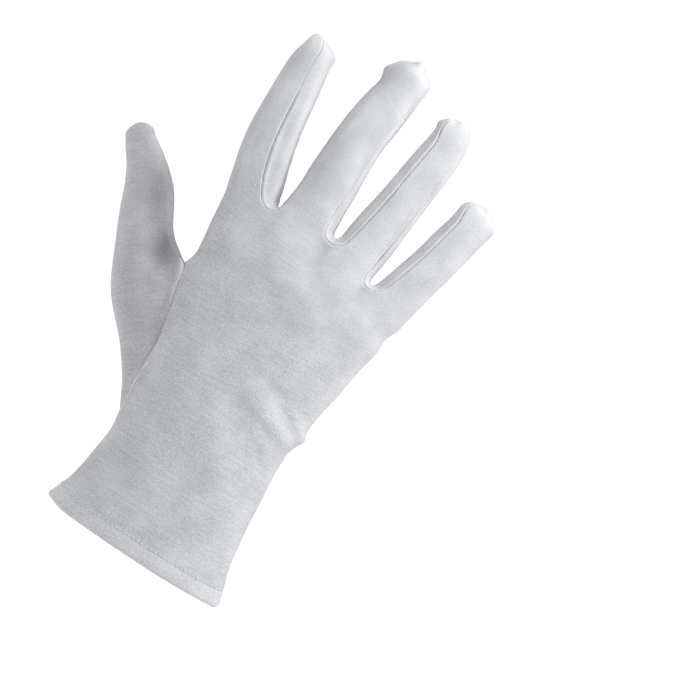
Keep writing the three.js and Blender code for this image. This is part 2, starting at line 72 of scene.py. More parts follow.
# The wall of the solids. The narrow faces across it have edges of just this length.
WALL = 0.001
WALL_TOLERANCE = 0.0000003
SAME_POINT = 0.000001
WIDEST_SEAM_GAP = 0.0006


def pick(*objects):
    bpy.ops.object.select_all(action="DESELECT")
    for one in objects:
        one.select_set(True)
    bpy.context.view_layer.objects.active = objects[0]


def outer_side(name, seen_from):
    side = bpy.data.objects.new(f"{name}_side", frame["nodes"][name].data.copy())
    bpy.context.scene.collection.objects.link(side)
    side.data.materials.clear()
    side.data.materials.append(bpy.data.materials.new(name))
    pick(side)
    bpy.ops.mesh.customdata_custom_splitnormals_clear()
    bpy.ops.object.mode_set(mode="EDIT")
    bpy.ops.mesh.select_mode(type="FACE")
    bpy.ops.mesh.select_all(action="SELECT")
    bpy.ops.mesh.remove_doubles(threshold=SAME_POINT)
    bpy.ops.mesh.select_all(action="DESELECT")
    bpy.ops.object.mode_set(mode="OBJECT")
    points = side.data.vertices
    across_wall = set()
    for edge in side.data.edges:
        length = (points[edge.vertices[0]].co - points[edge.vertices[1]].co).length
        if abs(length - WALL) < WALL_TOLERANCE:
            across_wall.add(tuple(sorted(edge.vertices)))
    for face in side.data.polygons:
        face.select = any(key in across_wall for key in face.edge_keys)
    bpy.ops.object.mode_set(mode="EDIT")
    bpy.ops.mesh.delete(type="FACE")
    bpy.ops.object.mode_set(mode="OBJECT")
    bpy.context.view_layer.update()
    _, _, _, nearest_face = side.closest_point_on_mesh(seen_from)
    side.data.polygons[nearest_face].select = True
    bpy.ops.object.mode_set(mode="EDIT")
    bpy.ops.mesh.select_linked()
    bpy.ops.mesh.select_all(action="INVERT")
    bpy.ops.mesh.delete(type="FACE")
    bpy.ops.mesh.select_all(action="SELECT")
    bpy.ops.mesh.tris_convert_to_quads(face_threshold=math.pi, shape_threshold=math.pi)
    bpy.ops.object.mode_set(mode="OBJECT")
    return side


def panel_of(face):
    return PANEL_NAMES[face.material_index]


def edge_panels(mesh):
    owners = {}
    for face in mesh.polygons:
        for key in face.edge_keys:
            owners.setdefault(key, []).append(panel_of(face))
    return owners


def edge_middle(mesh, key):
    return (mesh.vertices[key[0]].co + mesh.vertices[key[1]].co) / 2


def select_edges(mesh, keys):
    mesh.vertices.foreach_set("select", [False] * len(mesh.vertices))
    mesh.polygons.foreach_set("select", [False] * len(mesh.polygons))
    for edge in mesh.edges:
        edge.select = tuple(sorted(edge.vertices)) in keys


pick(*[outer_side(name, place) for name, place in PANELS.items()])
bpy.ops.object.join()
glove = bpy.context.active_object
glove.name = "glove"
bpy.ops.object.mode_set(mode="EDIT")
bpy.ops.mesh.select_mode(type="EDGE")
bpy.ops.mesh.select_all(action="DESELECT")
bpy.ops.mesh.select_non_manifold()
bpy.ops.mesh.remove_doubles(threshold=WIDEST_SEAM_GAP)
bpy.ops.mesh.select_all(action="DESELECT")
bpy.ops.object.mode_set(mode="OBJECT")

# The fold at the cuff's edge. The main cloth and the turned-up hem are one cloth there, so the gap
# between their lower rims is closed by a small roll. The edge lies lower towards the little finger.
HEM_SLOPE = 0.07
MOUTH_BELOW = 0.004
HEM_ROLL = 0.0007

mouth = set()
for key, panels in edge_panels(glove.data).items():
    middle = edge_middle(glove.data, key)
    if len(panels) == 1 and middle.z + HEM_SLOPE * middle.x < MOUTH_BELOW:
        mouth.add(key)
hem_points = set()
for face in glove.data.polygons:
    if panel_of(face) == "cuff_hem":
        hem_points.update(face.vertices)
first_face = len(glove.data.polygons)
first_point = len(glove.data.vertices)
select_edges(glove.data, mouth)
bpy.ops.object.mode_set(mode="EDIT")
bpy.ops.mesh.bridge_edge_loops(number_cuts=1, interpolation="LINEAR", smoothness=0.0)
bpy.ops.object.mode_set(mode="OBJECT")
for point in glove.data.vertices[first_point:]:
    point.co.z -= HEM_ROLL
for face in glove.data.polygons[first_face:]:
    name = "back" if face.center.y < 0 else "palm"
    if any(corner in hem_points for corner in face.vertices):
        name = "cuff_hem"
    face.material_index = PANEL_NAMES.index(name)

# Seams and folds. Main cloth and thumb are folded on their outer side, where no seam shows. Every other
# edge between two panels is sewn: a narrow strip along it is bevelled, to hold the seam's valley.
FOLD_SIDE = -0.030
FOLD_TOP = 0.217
THUMB_ROOT = Vector((-0.0387, 0.0, 0.0822))
THUMB_AXIS = Vector((-0.0500, 0.0, 0.0736)).normalized()
THUMB_FOLD_END = 0.083
SEAM_STRIP = 0.0006


def is_fold(middle, panels):
    if set(panels) == {"back", "palm"}:
        return middle.x < FOLD_SIDE and middle.z < FOLD_TOP
    if set(panels) == {"thumb_back", "thumb_palm"}:
        away = middle - THUMB_ROOT
        inner = away.x * THUMB_AXIS.z - away.z * THUMB_AXIS.x > 0
        return not inner and away.dot(THUMB_AXIS) < THUMB_FOLD_END
    return False


def panel_borders(mesh, folded):
    borders = set()
    for key, panels in edge_panels(mesh).items():
        if len(set(panels)) > 1 and is_fold(edge_middle(mesh, key), panels) == folded:
            borders.add(key)
    return borders


def hem_fold(mesh):
    owners = edge_panels(mesh).items()
    return {key for key, panels in owners if len(set(panels)) == 2 and "cuff_hem" in panels}


select_edges(glove.data, panel_borders(glove.data, folded=False) - hem_fold(glove.data))
bpy.ops.object.mode_set(mode="EDIT")
bpy.ops.mesh.bevel(offset=SEAM_STRIP, segments=2, profile=0.5, affect="EDGES", material=-1)
bpy.ops.object.mode_set(mode="OBJECT")

# The knit's direction. Each panel is laid out flat, turned so that its columns of stitches run along
# the glove, the thumb or the strip, and scaled to metres.
UNWRAP_ROUNDS = 30
STRIP_LOWEST = 0.15
STRIP_MIDDLE = {
    "fourchette_index_middle": -0.0182,
    "fourchette_middle_ring": 0.0092,
    "fourchette_ring_little": 0.0326,
}


def height_along(name, place):
    if name.startswith("thumb"):
        return place.dot(THUMB_AXIS)
    if name.startswith("fourchette"):
        return math.copysign(place.z - STRIP_LOWEST, place.x - STRIP_MIDDLE[name])
    return place.z


def layout_area(corners):
    return abs(sum(a.x * b.y - b.x * a.y for a, b in zip(corners, corners[1:] + corners[:1]))) / 2


def lay_knit(mesh, panel):
    layout = mesh.uv_layers.active.data
    faces = [face for face in mesh.polygons if face.material_index == panel]
    corners = [i for face in faces for i in face.loop_indices]
    flat = [layout[i].uv.copy() for i in corners]
    places = [mesh.vertices[mesh.loops[i].vertex_index].co for i in corners]
    heights = [height_along(PANEL_NAMES[panel], place) for place in places]
    middle = sum(flat, Vector((0.0, 0.0))) / len(flat)
    level = sum(heights) / len(heights)
    # The direction in which the height rises fastest, by least squares.
    uu = sum((p.x - middle.x) ** 2 for p in flat)
    vv = sum((p.y - middle.y) ** 2 for p in flat)
    uv = sum((p.x - middle.x) * (p.y - middle.y) for p in flat)
    uh = sum((p.x - middle.x) * (height - level) for p, height in zip(flat, heights))
    vh = sum((p.y - middle.y) * (height - level) for p, height in zip(flat, heights))
    turn = math.pi / 2 - math.atan2(uu * vh - uv * uh, vv * uh - uv * vh)
    flat_area = sum(layout_area([layout[i].uv for i in face.loop_indices]) for face in faces)
    scale = math.sqrt(sum(face.area for face in faces) / flat_area)
    rotate = Matrix.Rotation(turn, 2)
    for i, place in zip(corners, flat):
        layout[i].uv = rotate @ (place - middle) * scale


folds = panel_borders(glove.data, folded=True)
select_edges(glove.data, panel_borders(glove.data, folded=False) | folds)
bpy.ops.object.mode_set(mode="EDIT")
bpy.ops.mesh.mark_seam(clear=False)
bpy.ops.mesh.select_all(action="SELECT")
bpy.ops.uv.unwrap(method="MINIMUM_STRETCH", iterations=UNWRAP_ROUNDS, margin=0.0)
bpy.ops.object.mode_set(mode="OBJECT")
for panel in range(len(PANEL_NAMES)):
    lay_knit(glove.data, panel)

# The cloth made finer, so that it rounds off between the sections of the solids and can hold folds.
CLOTH_LEVELS = 2

pick(glove)
finer = glove.modifiers.new("finer cloth", "SUBSURF")
finer.levels = CLOTH_LEVELS
finer.render_levels = CLOTH_LEVELS
bpy.ops.object.modifier_apply(modifier=finer.name)

# The form of the fingers. The cloth is drawn flat over each finger between its seams, and rounds off
# again towards the palm and the fingertips, which lie a little nearer to the back. From here to the
# seams, places and sizes are in millimetres: x to the little finger's side, z up to the fingertips.
MILLIMETRE = 0.001
FINGER_ROOT = (138.0, 158.0)
FINGER_HALF_DEPTH = 8.3
FLATNESS = 2.3
FINGERTIPS = [(-41.0, 230.0), (3.0, 242.0), (29.0, 229.0), (58.0, 202.0)]
TIP_ROUNDING = (0.3, 3.5)
TIP_LIFT = 4.4
TIP_LIFT_REACH = (1.0, 24.0)
# Middle, ring and little finger lie a little turned about their length.
FINGER_TURNS = [
    {"root": (-4.5, 158.0), "tip": (3.0, 242.0), "turn": 0.08},
    {"root": (20.5, 153.0), "tip": (29.0, 229.0), "turn": 0.13},
    {"root": (42.0, 145.0), "tip": (58.0, 202.0), "turn": 0.25},
]
TURN_REACH = (9.0, 13.0)


def rising(value, start, end):
    """A soft step, from nought at the start to one at the end."""
    share = min(1.0, max(0.0, (value - start) / (end - start)))
    return share * share * (3 - 2 * share)


def bell(away, wide):
    """One at the middle, and fading out softly over its width to both sides."""
    return math.exp(-((away / wide) ** 2))


def finger_turn(place):
    turned = 0.0
    for finger in FINGER_TURNS:
        along = Vector(finger["tip"]) - Vector(finger["root"])
        away = Vector((place.x, place.z)) - Vector(finger["root"])
        across = (away.x * along.y - away.y * along.x) / along.length
        turned += finger["turn"] * across * (1 - rising(abs(across), *TURN_REACH))
    return turned


def finger_depth(place):
    share = rising(place.z, *FINGER_ROOT)
    if share == 0.0:
        return place.y
    turned = share * finger_turn(place)
    from_tip = min(math.hypot(place.x - x, place.z - z) for x, z in FINGERTIPS)
    depth = place.y - share * TIP_LIFT * (1 - rising(from_tip, *TIP_LIFT_REACH))
    share_of_half = abs(depth) / FINGER_HALF_DEPTH
    if share_of_half >= 1.0:
        return depth + turned
    flat = depth * (1 + FLATNESS) / (1 + FLATNESS * share_of_half)
    return depth + turned + share * rising(from_tip, *TIP_ROUNDING) * (flat - depth)


# The form of the thumb. It lies turned about its length, so that its flat side faces outwards. The
# inner half takes the turn, which starts gently at the thumb's middle line.
THUMB_TURN = 0.42
THUMB_START = (20.0, 44.0)
THUMB_OUTSIDE = (44.0, 54.0)
THUMB_SOFT_START = 5.0


def thumb_depth(place):
    away = place - THUMB_ROOT / MILLIMETRE
    share = rising(away.dot(THUMB_AXIS), *THUMB_START) * rising(-place.x, *THUMB_OUTSIDE)
    if share == 0.0:
        return place.y
    across = away.x * THUMB_AXIS.z - away.z * THUMB_AXIS.x
    leaning = (across + math.hypot(across, THUMB_SOFT_START) - THUMB_SOFT_START) / 2
    return place.y - share * THUMB_TURN * leaning


thumb_points = set()
strip_points = set()
for face in glove.data.polygons:
    if panel_of(face).startswith("thumb"):
        thumb_points.update(face.vertices)
    if panel_of(face).startswith("fourchette"):
        strip_points.update(face.vertices)

# Where the cloth is drawn out of its even form. It stands off in small corners at the fingertips and
# the cuff. A pull says at which place it is, how far it is felt, and how far the cloth is moved to the
# side and up.
PULLS = [
    # The thumb's tip.
    {"at": (-92.7, 152.0), "felt": 6.0, "moved": (0.97, 0.56)},
    {"at": (-92.6, 156.1), "felt": 3.0, "moved": (1.07, -0.13)},
    {"at": (-86.1, 140.5), "felt": 10.3, "moved": (0.82, 0.47)},
    {"at": (-83.7, 161.2), "felt": 2.1, "moved": (0.30, 0.77)},
    # The index fingertip.
    {"at": (-40.9, 229.9), "felt": 2.8, "moved": (-0.58, 1.26)},
    {"at": (-34.1, 230.1), "felt": 2.6, "moved": (-0.52, -0.99)},
    {"at": (-29.3, 225.4), "felt": 2.1, "moved": (0.73, 0.28)},
    {"at": (-45.0, 225.8), "felt": 2.6, "moved": (0.54, -0.08)},
    # The middle fingertip.
    {"at": (3.4, 241.8), "felt": 2.4, "moved": (0.28, 1.40)},
    {"at": (-8.5, 233.9), "felt": 2.1, "moved": (-0.88, 0.14)},
    {"at": (-8.9, 227.7), "felt": 3.4, "moved": (0.82, -0.12)},
    {"at": (12.4, 235.6), "felt": 2.1, "moved": (0.48, 0.28)},
    # The ring fingertip.
    {"at": (22.7, 225.6), "felt": 2.1, "moved": (-1.01, 0.21)},
    {"at": (33.3, 228.7), "felt": 3.4, "moved": (0.13, 0.47)},
    # The little fingertip, and this finger's outer side at its root.
    {"at": (49.1, 199.6), "felt": 4.3, "moved": (-0.37, 0.38)},
    {"at": (59.7, 202.8), "felt": 3.9, "moved": (0.08, 0.64)},
    {"at": (66.9, 195.5), "felt": 3.4, "moved": (0.72, 0.12)},
    {"at": (50.8, 132.1), "felt": 5.2, "moved": (-1.74, 0.09)},
    # The tuck above the cuff, on the little finger's side.
    {"at": (40.7, 76.6), "felt": 2.6, "moved": (1.11, 0.14)},
    {"at": (37.5, 68.3), "felt": 2.1, "moved": (-0.75, 0.01)},
    # The cuff, and the corners of its edge.
    {"at": (-35.0, 39.9), "felt": 6.5, "moved": (1.18, 0.19)},
    {"at": (42.2, 3.5), "felt": 5.6, "moved": (1.10, 0.34)},
    {"at": (42.0, -2.0), "felt": 2.4, "moved": (0.90, -0.70)},
    {"at": (-38.0, 0.4), "felt": 3.0, "moved": (0.13, 0.47)},
    {"at": (-41.5, 2.6), "felt": 2.2, "moved": (-0.60, 0.30)},
]
# A slide does the same within the cloth's own surface, so that a seam shifts and the form stays.
SLIDES = [
    # Along the thumb's seam.
    {"at": (-39.8, 111.0), "felt": 6.0, "moved": (1.10, 0.60)},
    {"at": (-38.6, 97.0), "felt": 6.5, "moved": (1.60, 0.50)},
    {"at": (-38.0, 83.8), "felt": 7.3, "moved": (4.10, 0.70)},
    {"at": (-36.6, 71.2), "felt": 7.3, "moved": (4.00, 0.60)},
    {"at": (-34.3, 57.7), "felt": 4.7, "moved": (1.34, 0.12)},
    # At the tips of ring and little finger.
    {"at": (27.5, 223.0), "felt": 5.0, "moved": (-1.5, 0.3)},
    {"at": (54.5, 197.0), "felt": 5.0, "moved": (-1.5, 0.3)},
]
# Past this many reaches, a pull or a crease is no longer felt.
FELT_END = 2.2


def pulled(place, pulls):
    shift = Vector((0.0, 0.0, 0.0))
    for pull in pulls:
        away = math.hypot(place.x - pull["at"][0], place.z - pull["at"][1]) / pull["felt"]
        if away < FELT_END:
            shift += Vector((pull["moved"][0], 0.0, pull["moved"][1])) * math.exp(-away * away)
    return shift


# The creases of the back. The real cloth is gathered in a small tuck above the cuff, on the little
# finger's side, and folds run from it across the back. A crease follows a line; wide is its reach to
# each side, high how far it stands out, or sinks in where it is below nought.
CREASES = [
    # Folds that run up to the tuck.
    {"line": [(16.2, 83.8), (20.5, 81.4), (25.1, 79.5), (29.5, 77.1), (33.3, 73.9)],
     "wide": 2.2, "high": 0.08},
    {"line": [(20.8, 89.5), (28.5, 84.0), (32.1, 81.1), (35.4, 78.0), (38.5, 74.4)],
     "wide": 1.9, "high": -0.14},
    {"line": [(34.5, 78.4), (37.4, 75.8), (39.6, 73.6)], "wide": 1.7, "high": -0.12},
    {"line": [(14.3, 76.8), (19.4, 74.8), (23.7, 73.3), (28.0, 71.8), (32.4, 69.4)],
     "wide": 2.2, "high": -0.45},
    {"line": [(22.5, 68.6), (27.4, 66.0), (31.8, 63.6)], "wide": 2.4, "high": 0.35},
    {"line": [(24.8, 64.5), (27.9, 60.8), (30.8, 57.5)], "wide": 1.4, "high": -0.45},
    {"line": [(29.0, 85.6), (33.2, 83.2), (37.0, 81.4)], "wide": 2.8, "high": 0.80},
    {"line": [(35.5, 79.8), (40.0, 75.8)], "wide": 2.3, "high": 1.10},
    {"line": [(16.1, 90.7), (21.7, 88.0)], "wide": 2.6, "high": -0.50},
    # A dent in the thumb beside the web, and the flare of the cuff's edge.
    {"line": [(-57.0, 124.0), (-54.0, 114.0)], "wide": 5.0, "high": -1.5},
    {"line": [(-40.0, 3.0), (42.0, -2.0)], "wide": 9.0, "high": 1.0},
    # Soft swellings of the back.
    {"line": [(-10.0, 80.0), (11.5, 60.0)], "wide": 14.0, "high": 1.4},
    {"line": [(-8.0, 138.0), (13.5, 121.0)], "wide": 14.0, "high": 1.2},
    {"line": [(-26.0, 130.0), (-8.0, 132.0), (12.0, 130.5)], "wide": 6.0, "high": 0.80},
]
# How soon a form of the back fades out as the cloth turns to the side.
FACING_GAIN = 2.0
# The cloth is never quite even: soft rises all over it, and finer ones a third as high.
UNEVEN = 0.30
UNEVEN_LENGTH = 17.0
UNEVEN_FINE = UNEVEN / 3
UNEVEN_FINE_LENGTH = 5.0


def share_of(line, place, wide):
    nearest = FELT_END * wide
    here = Vector((place.x, place.z))
    for start, end in zip(line, line[1:]):
        start = Vector(start)
        along = Vector(end) - start
        share = min(1.0, max(0.0, (here - start).dot(along) / along.length_squared))
        nearest = min(nearest, (here - start - along * share).length)
    return bell(nearest, wide) if nearest < FELT_END * wide else 0.0


def crease_height(place, normal):
    facing = min(1.0, max(0.0, -FACING_GAIN * normal.y))
    if facing == 0.0:
        return 0.0
    return facing * sum(one["high"] * share_of(one["line"], place, one["wide"]) for one in CREASES)


def uneven_height(place):
    coarse = UNEVEN * noise.noise(place / UNEVEN_LENGTH)
    return coarse + UNEVEN_FINE * noise.noise(place / UNEVEN_FINE_LENGTH)


# The sewn seams. In the real glove two edges are sewn together inside, so that each seam sinks into a
# narrow valley, puckers a little, and has a low welt beside it where the seam's cloth lies doubled.
SEAM_REACH = 5.0
SEAM_DEPTH = 0.42
SEAM_HALF_WIDTH = 0.26
WELT_HEIGHT = 0.10
STRIP_WELT_HEIGHT = 0.34
WELT_PLACE = 1.1
WELT_HALF_WIDTH = 0.7
PUCKER = 0.18
PUCKER_LENGTH = 3.2
PUCKER_SHIFT = Vector((7.0, 3.0, 1.0))
# Where a seam is drawn flat: high is the share of its valley that fades there.
FLAT_SEAMS = [
    {"line": [(-34.8, 207.3), (-35.3, 212.5), (-33.3, 228.0)], "wide": 3.5, "high": 0.9},
    {"line": [(-34.6, 72.0), (-34.9, 50.9)], "wide": 4.5, "high": 0.95},
    {"line": [(-38.1, 102.1), (-37.4, 96.6)], "wide": 3.0, "high": 0.4},
    {"line": [(-43.5, 118.5), (-48.8, 122.3)], "wide": 3.5, "high": 0.9},
    {"line": [(4.0, 162.0), (4.3, 173.0)], "wide": 2.0, "high": 0.5},
    {"line": [(28.0, 229.5), (29.5, 229.5)], "wide": 3.0, "high": 0.8},
    {"line": [(56.5, 203.5), (58.5, 203.5)], "wide": 3.0, "high": 0.8},
    {"line": [(4.3, 177.0), (4.4, 193.7), (5.5, 203.8), (7.2, 216.2), (9.0, 225.2), (11.5, 238.0)],
     "wide": 2.6, "high": 0.95},
    {"line": [(31.9, 170.5), (34.4, 193.2), (37.6, 214.4), (37.1, 226.5)], "wide": 2.4, "high": 0.9},
]
# The seam that sets the thumb in has a shallow valley and a broad welt on the thumb's side. The welt is
# given by its height, how far its crest lies from the seam, and how gently it falls off behind it.
THUMB_SEAM_REACH = 16.0
THUMB_SEAM_DEPTH = 0.30
UPPER_WELT = (0.85, 1.7, 4.2)
LOWER_WELT = (1.9, 2.4, 6.0)
# Heights over which the lower welt turns into the upper one, and over which it rises from nothing.
WELT_RISE = (74.0, 100.0)
WELT_END = (50.0, 64.0)
# Below this stretch the seam itself is lifted, and the main cloth rises to it in a ridge.
LINE_RISE = (70.0, 80.0)
MAIN_RIDGE = 2.4
# Where the thumb's seam shows as doubled cloth and is painted lighter, as the highlight on its welt, less
# so lower down.
DOUBLED_AND_LIT_REACH = 2.6
DOUBLED_AND_LIT_FADE = (62.0, 108.0)
DOUBLED_AND_LIT_LOWEST = 0.85


def seam_distances(mesh, seam, reach):
    """How far each point near a seam lies from it, measured along the cloth's edges."""
    neighbours = {}
    for edge in mesh.edges:
        a, b = edge.vertices
        length = (mesh.vertices[a].co - mesh.vertices[b].co).length / MILLIMETRE
        neighbours.setdefault(a, []).append((b, length))
        neighbours.setdefault(b, []).append((a, length))
    away = {point: 0.0 for key in seam for point in key}
    waiting = [(0.0, point) for point in away]
    while waiting:
        distance, point = heapq.heappop(waiting)
        if distance > away[point]:
            continue
        for other, length in neighbours[point]:
            further = distance + length
            if further < min(away.get(other, reach), reach):
                away[other] = further
                heapq.heappush(waiting, (further, other))
    return away


def thumb_seam(mesh, seam):
    found = set()
    for key, panels in edge_panels(mesh).items():
        on_thumb = any(name.startswith("thumb") for name in panels)
        on_main = "back" in panels or "palm" in panels
        if key in seam and on_thumb and on_main:
            found.add(key)
    return found


def seam_height(index, place):
    away = away_from_seam.get(index, SEAM_REACH)
    if away >= SEAM_REACH:
        return 0.0
    full = 1 - max(one["high"] * share_of(one["line"], place, one["wide"]) for one in FLAT_SEAMS)
    height = PUCKER * (1 - away / SEAM_REACH) * noise.noise(place / PUCKER_LENGTH + PUCKER_SHIFT)
    if away_from_thumb_seam.get(index, THUMB_SEAM_REACH) < SEAM_REACH:
        return height - full * THUMB_SEAM_DEPTH * bell(away, SEAM_HALF_WIDTH)
    welt = STRIP_WELT_HEIGHT if index in strip_points else WELT_HEIGHT
    height += full * welt * bell(away - WELT_PLACE, WELT_HALF_WIDTH)
    return height - full * SEAM_DEPTH * bell(away, SEAM_HALF_WIDTH)


def thumb_welt(place, away):
    share = rising(place.z, *WELT_RISE)
    high, crest, gentle = [low + share * (up - low) for low, up in zip(LOWER_WELT, UPPER_WELT)]
    sunk = rising(place.z, *LINE_RISE)
    shape = 1 - sunk + sunk * rising(away, 0.0, crest)
    return high * shape * bell(max(0.0, away - crest), gentle)


def main_ridge(place, away):
    return LOWER_WELT[0] * (1 - rising(place.z, *LINE_RISE)) * bell(away, MAIN_RIDGE)


# Cloth beside the thumb's seam: doubled, and given a painted highlight on its welt.
def doubled_and_lit_cloth(place, away):
    strength = DOUBLED_AND_LIT_LOWEST + (1 - DOUBLED_AND_LIT_LOWEST) * rising(place.z, *DOUBLED_AND_LIT_FADE)
    return strength * bell(away, DOUBLED_AND_LIT_REACH)


sewn = panel_borders(glove.data, folded=False)
seam = sewn - hem_fold(glove.data)
away_from_seam = seam_distances(glove.data, seam, SEAM_REACH)
away_from_thumb_seam = seam_distances(glove.data, thumb_seam(glove.data, seam), THUMB_SEAM_REACH)

# All of these forms are given to the cloth, first its depth and then the rest, and it is parted along
# its seams into the pieces that the real glove is sewn from.
for point in glove.data.vertices:
    place = point.co / MILLIMETRE
    depth_of = thumb_depth if point.index in thumb_points else finger_depth
    point.co.y = depth_of(place) * MILLIMETRE
glove.data.update()
normals = [point.normal.copy() for point in glove.data.vertices]
# Kept for the thumb's colour: how far the cloth beside its seam is doubled and painted lighter as a
# highlight.
doubled_and_lit = glove.data.attributes.new("doubled_and_lit", "FLOAT", "POINT")
for point, normal in zip(glove.data.vertices, normals):
    place = point.co / MILLIMETRE
    slide = pulled(place, SLIDES)
    place += pulled(place, PULLS) + slide - normal * slide.dot(normal)
    height = crease_height(place, normal) + uneven_height(place) + seam_height(point.index, place)
    if point.index in away_from_thumb_seam:
        away = away_from_thumb_seam[point.index]
        on_thumb = point.index in thumb_points
        rise = thumb_welt(place, away) if on_thumb else main_ridge(place, away)
        height += rise * rising(place.z, *WELT_END) * min(1.0, abs(FACING_GAIN * normal.y))
        if on_thumb:
            doubled_and_lit.data[point.index].value = doubled_and_lit_cloth(place, away)
    point.co = (place + normal * height) * MILLIMETRE

select_edges(glove.data, sewn)
bpy.ops.object.mode_set(mode="EDIT")
bpy.ops.mesh.edge_split(type="EDGE")
bpy.ops.mesh.select_all(action="SELECT")
bpy.ops.mesh.separate(type="LOOSE")
bpy.ops.object.mode_set(mode="OBJECT")
pieces = {}
for one in bpy.context.selected_objects:
    pieces[frozenset(panel_of(face) for face in one.data.polygons)] = one
bpy.context.view_layer.update()

# The main cloth, one piece of fine white cotton jersey for the back, the palm and both sides of the
# fingers. It is folded along the index finger's side and sewn up along the little finger's.
CLOTH_THICKNESS = 0.0009
COTTON_WHITE = (0.86, 0.865, 0.885, 1.0)
COTTON_SHADE = (0.50, 0.505, 0.535, 1.0)
# Stitches stand in columns along the cloth and in rows that run a little askew. Each row bows within
# a column, and the columns wander.
COLUMN_WIDTH = 0.00087
ROW_HEIGHT = 0.00100
ROW_SKEW = 0.325
ROW_BOW = 0.25
COLUMN_WANDER = 0.0005
WANDER_SCALE = 90.0
COLUMN_RELIEF = 0.40
ROW_RELIEF = 0.45
# Single yarns run thicker or thinner for a few stitches, loose fibres lie over them, and the cloth is
# faintly clouded. Each has the scale of its noise and its share in the shade.
YARN_SCALE_ACROSS = 90.0
YARN_SCALE_ALONG = 800.0
YARN_SHADE = 0.55
FIBRE_SCALE = 900.0
FIBRE_SHADE = 0.9
CLOUD_SCALE = 70.0
CLOUD_SHADE = 0.9
# How much painted shade lies in the furrows between the stitches, and how dark the cloth is in all.
PAINTED_STITCH_SHADE = 0.45
STITCH_LEVEL = 0.19
CLOTH_SHADE = 0.43
# The turned-up hem is two layers and looks whiter. The cloth beside the thumb's seam is doubled too, and is
# painted lighter there, as the highlight that its welt catches.
HEM_DOUBLED_HEIGHT = 0.0066
HEM_WHITER = 0.26
SEAM_DOUBLED_AND_LIT = 0.5
# Towards the fingers the cloth is drawn smooth, and the stitches show less.
SMOOTH_HEIGHT = 0.115
SMOOTH_SIDE = -0.015
SMOOTH_BY_HEIGHT = 14.0
SMOOTH_BY_SIDE = 10.0
SMOOTH_SHARE = 0.60
RELIEF_STRENGTH = 0.8
RELIEF_HEIGHT = 0.00014
LOOSE_RELIEF = 0.5
NOISE_DETAIL = 2.0
CLOUD_DETAIL = 3.0
# The surface is matt, with a little bloom of loose fibres.
COTTON_ROUGHNESS = 0.9
COTTON_GLOSS = 0.2
BLOOM = 0.25
BLOOM_ROUGHNESS = 0.6


class Value:
    """A number that varies over a surface, so that its maths reads as an expression."""

    def __init__(self, finish, socket):
        self.finish = finish
        self.socket = socket

    def maths(self, operation, *others):
        return self.finish.node("ShaderNodeMath", {"operation": operation}, self, *others)

    def clamped(self):
        return self.maths("MAXIMUM", 0.0).maths("MINIMUM", 1.0)

    def output(self, index):
        return Value(self.finish, self.socket.node.outputs[index])

    def __add__(self, other):
        return self.maths("ADD", other)

    def __sub__(self, other):
        return self.maths("SUBTRACT", other)

    def __rsub__(self, other):
        return self.finish.node("ShaderNodeMath", {"operation": "SUBTRACT"}, other, self)

    def __mul__(self, other):
        return self.maths("MULTIPLY", other)

    def __truediv__(self, other):
        return self.maths("DIVIDE", other)

    __radd__ = __add__
    __rmul__ = __mul__


class Finish:
    """A material with its nodes."""

    def __init__(self, name):
        self.material = bpy.data.materials.new(name)
        self.material.use_nodes = True
        self.tree = self.material.node_tree
        self.surface = self.tree.nodes["Principled BSDF"]

    def node(self, kind, settings, *values, output=0):
        made = self.tree.nodes.new(kind)
        for key, value in settings.items():
            setattr(made, key, value)
        for socket, value in zip(made.inputs, values):
            self.join(socket, value)
        return Value(self, made.outputs[output])

    def join(self, socket, value):
        if isinstance(value, Value):
            self.tree.links.new(value.socket, socket)
        elif value is not None:
            socket.default_value = value

    def mixed(self, share, first, second):
        colour = self.node("ShaderNodeMix", {"data_type": "RGBA"}, share, output=2)
        self.join(colour.socket.node.inputs[6], first)
        self.join(colour.socket.node.inputs[7], second)
        return colour


